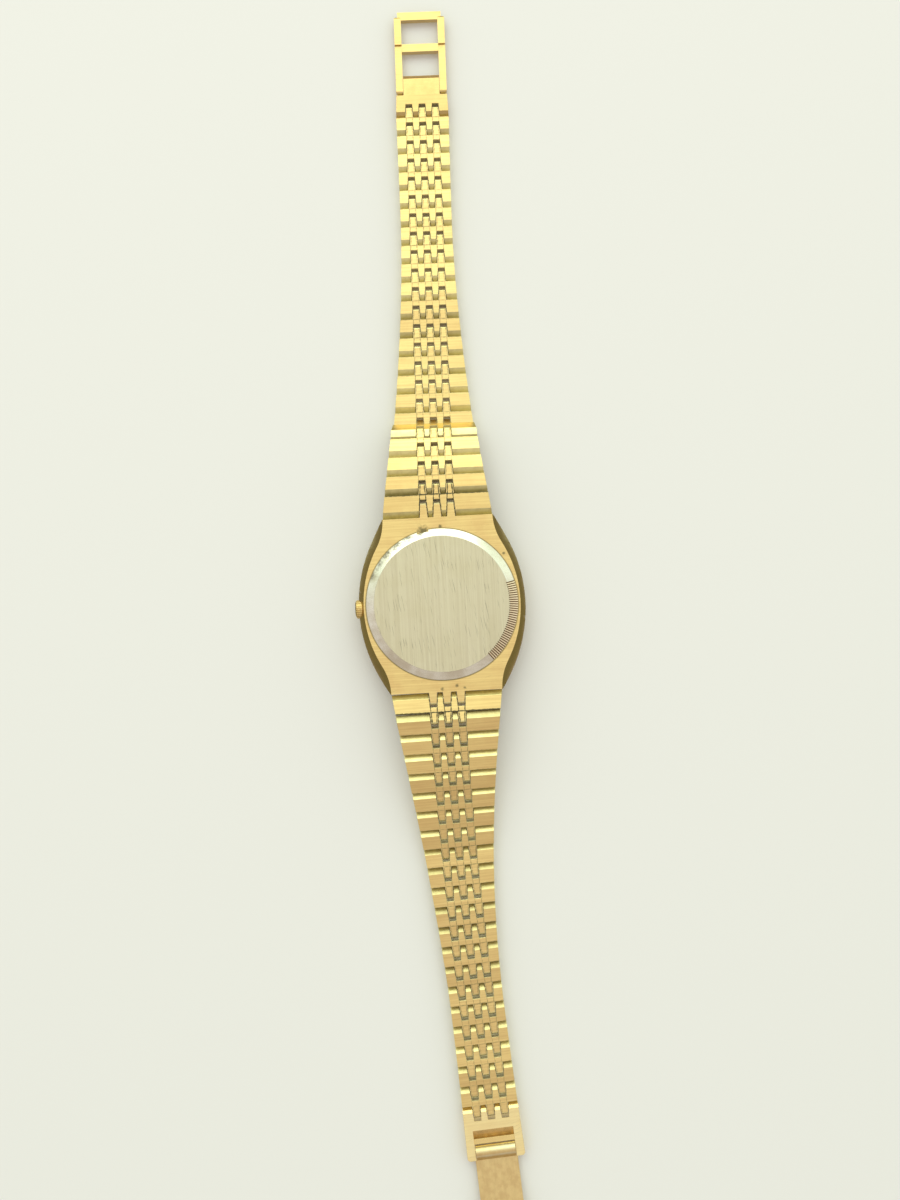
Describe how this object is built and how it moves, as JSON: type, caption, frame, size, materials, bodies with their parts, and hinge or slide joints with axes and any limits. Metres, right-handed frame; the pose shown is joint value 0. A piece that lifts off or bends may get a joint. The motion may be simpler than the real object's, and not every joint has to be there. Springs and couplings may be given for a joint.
{
  "type": "bracelet quartz watch",
  "caption": "Gold-tone quartz bracelet watch lying on its crystal: tonneau case, steel back cover, tapering hinged links, ladder and fold-over clasp.",
  "frame": {"origin": "centre of the crystal's outer face", "axes": "+Z out of the back cover, +Y towards twelve o'clock and the ladder, -X towards the crown"},
  "size_m": [0.0247, 0.1853, 0.006],
  "materials": {
    "gold": "gold plated, brushed faces and polished edges",
    "steel": "brushed, polished ring",
    "crystal": "clear mineral glass",
    "dial": "champagne satin",
    "hands": "polished gold tone",
    "gasket": "matte",
    "movement": "satin",
    "circuit": "lacquered board",
    "cell": "bright"
  },
  "bodies": {
    "case": {"case_body": "gold", "case_back": "steel", "seals": "gasket", "crystal": "crystal", "dial": "dial", "movement_plate": "movement", "circuit_block": "circuit", "battery": "cell"},
    "upper_link_01": {"upper_link_01": "gold"},
    "upper_link_02": {"upper_link_02": "gold"},
    "upper_link_03": {"upper_link_03": "gold"},
    "upper_link_04": {"upper_link_04": "gold"},
    "upper_link_05": {"upper_link_05": "gold"},
    "upper_link_06": {"upper_link_06": "gold"},
    "upper_link_07": {"upper_link_07": "gold"},
    "upper_link_08": {"upper_link_08": "gold"},
    "upper_link_09": {"upper_link_09": "gold"},
    "upper_link_10": {"upper_link_10": "gold"},
    "upper_link_11": {"upper_link_11": "gold"},
    "upper_link_12": {"upper_link_12": "gold"},
    "upper_link_13": {"upper_link_13": "gold"},
    "upper_link_14": {"upper_link_14": "gold"},
    "upper_link_15": {"upper_link_15": "gold"},
    "upper_link_16": {"upper_link_16": "gold"},
    "upper_link_17": {"upper_link_17": "gold"},
    "upper_link_18": {"upper_link_18": "gold"},
    "upper_link_19": {"upper_link_19": "gold"},
    "upper_link_20": {"upper_link_20": "gold"},
    "upper_link_21": {"upper_link_21": "gold"},
    "upper_link_22": {"upper_link_22": "gold"},
    "ladder_link": {"ladder_link": "gold"},
    "lower_link_01": {"lower_link_01": "gold"},
    "lower_link_02": {"lower_link_02": "gold"},
    "lower_link_03": {"lower_link_03": "gold"},
    "lower_link_04": {"lower_link_04": "gold"},
    "lower_link_05": {"lower_link_05": "gold"},
    "lower_link_06": {"lower_link_06": "gold"},
    "lower_link_07": {"lower_link_07": "gold"},
    "lower_link_08": {"lower_link_08": "gold"},
    "lower_link_09": {"lower_link_09": "gold"},
    "lower_link_10": {"lower_link_10": "gold"},
    "lower_link_11": {"lower_link_11": "gold"},
    "lower_link_12": {"lower_link_12": "gold"},
    "lower_link_13": {"lower_link_13": "gold"},
    "lower_link_14": {"lower_link_14": "gold"},
    "lower_link_15": {"lower_link_15": "gold"},
    "lower_link_16": {"lower_link_16": "gold"},
    "lower_link_17": {"lower_link_17": "gold"},
    "lower_link_18": {"lower_link_18": "gold"},
    "lower_link_19": {"lower_link_19": "gold"},
    "lower_link_20": {"lower_link_20": "gold"},
    "lower_link_21": {"lower_link_21": "gold"},
    "clasp_frame": {"clasp_frame": "gold"},
    "ladder": {"ladder": "gold"},
    "clasp_leaf": {"clasp_leaf": "gold"},
    "stem": {"stem": "steel"},
    "crown": {"crown": "gold"},
    "second_hand": {"second_hand": "hands"},
    "minute_hand": {"minute_hand": "hands"},
    "hour_hand": {"hour_hand": "hands"}
  },
  "joints": [
    {"name": "upper_link_01_hinge", "type": "hinge", "parent": "case", "child": "upper_link_01", "pos_m": [0, 0.01362, 0.00455], "axis": [1, -0.0044, 0], "range_deg": [-52.5, 62.5]},
    {"name": "upper_link_02_hinge", "type": "hinge", "parent": "upper_link_01", "child": "upper_link_02", "pos_m": [0.00001, 0.01696, 0.0044], "axis": [-1, 0.0087, 0], "range_deg": [-62.7, 52.3]},
    {"name": "upper_link_03_hinge", "type": "hinge", "parent": "upper_link_02", "child": "upper_link_03", "pos_m": [0.00004, 0.01978, 0.00414], "axis": [0.9999, -0.0131, 0], "range_deg": [-52, 63]},
    {"name": "upper_link_04_hinge", "type": "hinge", "parent": "upper_link_03", "child": "upper_link_04", "pos_m": [0.00008, 0.0226, 0.00374], "axis": [-0.9998, 0.0175, 0], "range_deg": [-63.8, 51.2]},
    {"name": "upper_link_05_hinge", "type": "hinge", "parent": "upper_link_04", "child": "upper_link_05", "pos_m": [0.00012, 0.02537, 0.00314], "axis": [0.9998, -0.0175, 0], "range_deg": [-13.2, 101.8]},
    {"name": "upper_link_06_hinge", "type": "hinge", "parent": "upper_link_05", "child": "upper_link_06", "pos_m": [0.00015, 0.02705, 0.00085], "axis": [-0.9998, 0.0175, 0], "range_deg": [-6.1, 108.9]},
    {"name": "upper_link_07_hinge", "type": "hinge", "parent": "upper_link_06", "child": "upper_link_07", "pos_m": [0.0002, 0.02989, 0.00085], "axis": [0.9998, -0.0175, 0], "range_deg": [-55, 60]},
    {"name": "upper_link_08_hinge", "type": "hinge", "parent": "upper_link_07", "child": "upper_link_08", "pos_m": [0.00025, 0.03273, 0.00085], "axis": [-0.9998, 0.0175, 0], "range_deg": [-60, 55]},
    {"name": "upper_link_09_hinge", "type": "hinge", "parent": "upper_link_08", "child": "upper_link_09", "pos_m": [0.0003, 0.03557, 0.00085], "axis": [0.9998, -0.0175, 0], "range_deg": [-55, 60]},
    {"name": "upper_link_10_hinge", "type": "hinge", "parent": "upper_link_09", "child": "upper_link_10", "pos_m": [0.00035, 0.0384, 0.00085], "axis": [-0.9998, 0.0175, 0], "range_deg": [-60, 55]},
    {"name": "upper_link_11_hinge", "type": "hinge", "parent": "upper_link_10", "child": "upper_link_11", "pos_m": [0.0004, 0.04124, 0.00085], "axis": [0.9998, -0.0175, 0], "range_deg": [-55, 60]},
    {"name": "upper_link_12_hinge", "type": "hinge", "parent": "upper_link_11", "child": "upper_link_12", "pos_m": [0.00045, 0.04408, 0.00085], "axis": [-0.9998, 0.0175, 0], "range_deg": [-60, 55]},
    {"name": "upper_link_13_hinge", "type": "hinge", "parent": "upper_link_12", "child": "upper_link_13", "pos_m": [0.0005, 0.04692, 0.00085], "axis": [0.9998, -0.0175, 0], "range_deg": [-55, 60]},
    {"name": "upper_link_14_hinge", "type": "hinge", "parent": "upper_link_13", "child": "upper_link_14", "pos_m": [0.00055, 0.04976, 0.00085], "axis": [-0.9998, 0.0175, 0], "range_deg": [-60, 55]},
    {"name": "upper_link_15_hinge", "type": "hinge", "parent": "upper_link_14", "child": "upper_link_15", "pos_m": [0.0006, 0.0526, 0.00085], "axis": [0.9998, -0.0175, 0], "range_deg": [-55, 60]},
    {"name": "upper_link_16_hinge", "type": "hinge", "parent": "upper_link_15", "child": "upper_link_16", "pos_m": [0.00065, 0.05544, 0.00085], "axis": [-0.9998, 0.0175, 0], "range_deg": [-60, 55]},
    {"name": "upper_link_17_hinge", "type": "hinge", "parent": "upper_link_16", "child": "upper_link_17", "pos_m": [0.0007, 0.05828, 0.00085], "axis": [0.9998, -0.0175, 0], "range_deg": [-55, 60]},
    {"name": "upper_link_18_hinge", "type": "hinge", "parent": "upper_link_17", "child": "upper_link_18", "pos_m": [0.00075, 0.06112, 0.00085], "axis": [-0.9998, 0.0175, 0], "range_deg": [-60, 55]},
    {"name": "upper_link_19_hinge", "type": "hinge", "parent": "upper_link_18", "child": "upper_link_19", "pos_m": [0.0008, 0.06396, 0.00085], "axis": [0.9998, -0.0175, 0], "range_deg": [-55, 60]},
    {"name": "upper_link_20_hinge", "type": "hinge", "parent": "upper_link_19", "child": "upper_link_20", "pos_m": [0.00085, 0.0668, 0.00085], "axis": [-0.9998, 0.0175, 0], "range_deg": [-60, 55]},
    {"name": "upper_link_21_hinge", "type": "hinge", "parent": "upper_link_20", "child": "upper_link_21", "pos_m": [0.0009, 0.06964, 0.00085], "axis": [0.9998, -0.0175, 0], "range_deg": [-55, 60]},
    {"name": "upper_link_22_hinge", "type": "hinge", "parent": "upper_link_21", "child": "upper_link_22", "pos_m": [0.00095, 0.07248, 0.00085], "axis": [-0.9998, 0.0175, 0], "range_deg": [-60, 55]},
    {"name": "ladder_link_hinge", "type": "hinge", "parent": "upper_link_22", "child": "ladder_link", "pos_m": [0.001, 0.07532, 0.00085], "axis": [0.9998, -0.0175, 0], "range_deg": [-55, 60]},
    {"name": "lower_link_01_hinge", "type": "hinge", "parent": "case", "child": "lower_link_01", "pos_m": [0, -0.01362, 0.00455], "axis": [-1, -0.0052, 0], "range_deg": [-60.8, 54.2]},
    {"name": "lower_link_02_hinge", "type": "hinge", "parent": "lower_link_01", "child": "lower_link_02", "pos_m": [0.00002, -0.01655, 0.00485], "axis": [0.9999, 0.0105, 0], "range_deg": [-74.8, 40.2]},
    {"name": "lower_link_03_hinge", "type": "hinge", "parent": "lower_link_02", "child": "lower_link_03", "pos_m": [0.00004, -0.01935, 0.0044], "axis": [-0.9999, -0.0157, 0], "range_deg": [-52, 63]},
    {"name": "lower_link_04_hinge", "type": "hinge", "parent": "lower_link_03", "child": "lower_link_04", "pos_m": [0.00009, -0.02213, 0.00381], "axis": [0.9998, 0.0209, 0], "range_deg": [-61.5, 53.5]},
    {"name": "lower_link_05_hinge", "type": "hinge", "parent": "lower_link_04", "child": "lower_link_05", "pos_m": [0.00015, -0.02489, 0.00314], "axis": [-0.9997, -0.0262, 0], "range_deg": [-55, 60]},
    {"name": "lower_link_06_hinge", "type": "hinge", "parent": "lower_link_05", "child": "lower_link_06", "pos_m": [0.00022, -0.02765, 0.00248], "axis": [0.9995, 0.0314, 0], "range_deg": [-58.5, 56.5]},
    {"name": "lower_link_07_hinge", "type": "hinge", "parent": "lower_link_06", "child": "lower_link_07", "pos_m": [0.00031, -0.03042, 0.00189], "axis": [-0.9993, -0.0366, 0], "range_deg": [-56.5, 58.5]},
    {"name": "lower_link_08_hinge", "type": "hinge", "parent": "lower_link_07", "child": "lower_link_08", "pos_m": [0.00041, -0.03321, 0.00137], "axis": [0.9991, 0.0419, 0], "range_deg": [-60, 55]},
    {"name": "lower_link_09_hinge", "type": "hinge", "parent": "lower_link_08", "child": "lower_link_09", "pos_m": [0.00052, -0.036, 0.00085], "axis": [-0.9989, -0.0471, 0], "range_deg": [-65.5, 49.5]},
    {"name": "lower_link_10_hinge", "type": "hinge", "parent": "lower_link_09", "child": "lower_link_10", "pos_m": [0.00066, -0.03884, 0.00085], "axis": [0.9986, 0.0523, 0], "range_deg": [-60, 55]},
    {"name": "lower_link_11_hinge", "type": "hinge", "parent": "lower_link_10", "child": "lower_link_11", "pos_m": [0.00081, -0.04168, 0.00085], "axis": [-0.9983, -0.0576, 0], "range_deg": [-55, 60]},
    {"name": "lower_link_12_hinge", "type": "hinge", "parent": "lower_link_11", "child": "lower_link_12", "pos_m": [0.00097, -0.04451, 0.00085], "axis": [0.998, 0.0628, 0], "range_deg": [-60, 55]},
    {"name": "lower_link_13_hinge", "type": "hinge", "parent": "lower_link_12", "child": "lower_link_13", "pos_m": [0.00115, -0.04735, 0.00085], "axis": [-0.9977, -0.068, 0], "range_deg": [-55, 60]},
    {"name": "lower_link_14_hinge", "type": "hinge", "parent": "lower_link_13", "child": "lower_link_14", "pos_m": [0.00134, -0.05018, 0.00085], "axis": [0.9973, 0.0732, 0], "range_deg": [-60, 55]},
    {"name": "lower_link_15_hinge", "type": "hinge", "parent": "lower_link_14", "child": "lower_link_15", "pos_m": [0.00155, -0.05301, 0.00085], "axis": [-0.9973, -0.0732, 0], "range_deg": [-55, 60]},
    {"name": "lower_link_16_hinge", "type": "hinge", "parent": "lower_link_15", "child": "lower_link_16", "pos_m": [0.00176, -0.05584, 0.00085], "axis": [0.9973, 0.0732, 0], "range_deg": [-60, 55]},
    {"name": "lower_link_17_hinge", "type": "hinge", "parent": "lower_link_16", "child": "lower_link_17", "pos_m": [0.00197, -0.05868, 0.00085], "axis": [-0.9973, -0.0732, 0], "range_deg": [-55, 60]},
    {"name": "lower_link_18_hinge", "type": "hinge", "parent": "lower_link_17", "child": "lower_link_18", "pos_m": [0.00217, -0.06151, 0.00085], "axis": [0.9973, 0.0732, 0], "range_deg": [-60, 55]},
    {"name": "lower_link_19_hinge", "type": "hinge", "parent": "lower_link_18", "child": "lower_link_19", "pos_m": [0.00238, -0.06434, 0.00085], "axis": [-0.9973, -0.0732, 0], "range_deg": [-55, 60]},
    {"name": "lower_link_20_hinge", "type": "hinge", "parent": "lower_link_19", "child": "lower_link_20", "pos_m": [0.00259, -0.06717, 0.00085], "axis": [0.9973, 0.0732, 0], "range_deg": [-60, 55]},
    {"name": "lower_link_21_hinge", "type": "hinge", "parent": "lower_link_20", "child": "lower_link_21", "pos_m": [0.0028, -0.07001, 0.00085], "axis": [-0.9973, -0.0732, 0], "range_deg": [-55, 60]},
    {"name": "clasp_frame_hinge", "type": "hinge", "parent": "lower_link_21", "child": "clasp_frame", "pos_m": [0.00301, -0.07284, 0.00085], "axis": [0.9973, 0.0732, 0], "range_deg": [-60, 55]},
    {"name": "ladder_tilt", "type": "hinge", "parent": "ladder_link", "child": "ladder", "pos_m": [0.00106, 0.07875, 0.00085], "axis": [0.9998, -0.0175, 0], "range_deg": [-75, 75]},
    {"name": "clasp_leaf_fold", "type": "hinge", "parent": "clasp_frame", "child": "clasp_leaf", "pos_m": [0.00342, -0.07847, 0.0012], "axis": [-0.9973, -0.0732, 0], "range_deg": [-6, 172.3]},
    {"name": "stem_pull", "type": "slide", "parent": "case", "child": "stem", "axis": [-1, 0, 0], "range_m": [0, 0.0007]},
    {"name": "crown_turn", "type": "hinge", "parent": "stem", "child": "crown", "pos_m": [-0.012, 0, 0.00345], "axis": [-1, 0, 0], "continuous": true},
    {"name": "second_hand_turn", "type": "hinge", "parent": "case", "child": "second_hand", "pos_m": [0, 0, 0.0015], "axis": [0, 0, 1], "continuous": true},
    {"name": "minute_hand_turn", "type": "hinge", "parent": "case", "child": "minute_hand", "pos_m": [0, 0, 0.0015], "axis": [0, 0, 1], "continuous": true},
    {"name": "hour_hand_turn", "type": "hinge", "parent": "case", "child": "hour_hand", "pos_m": [0, 0, 0.0015], "axis": [0, 0, 1], "continuous": true}
  ],
  "couplings": [
    {"joint": "minute_hand_turn", "follows": "second_hand_turn", "ratio": 0.016667},
    {"joint": "hour_hand_turn", "follows": "second_hand_turn", "ratio": 0.0013889}
  ]
}
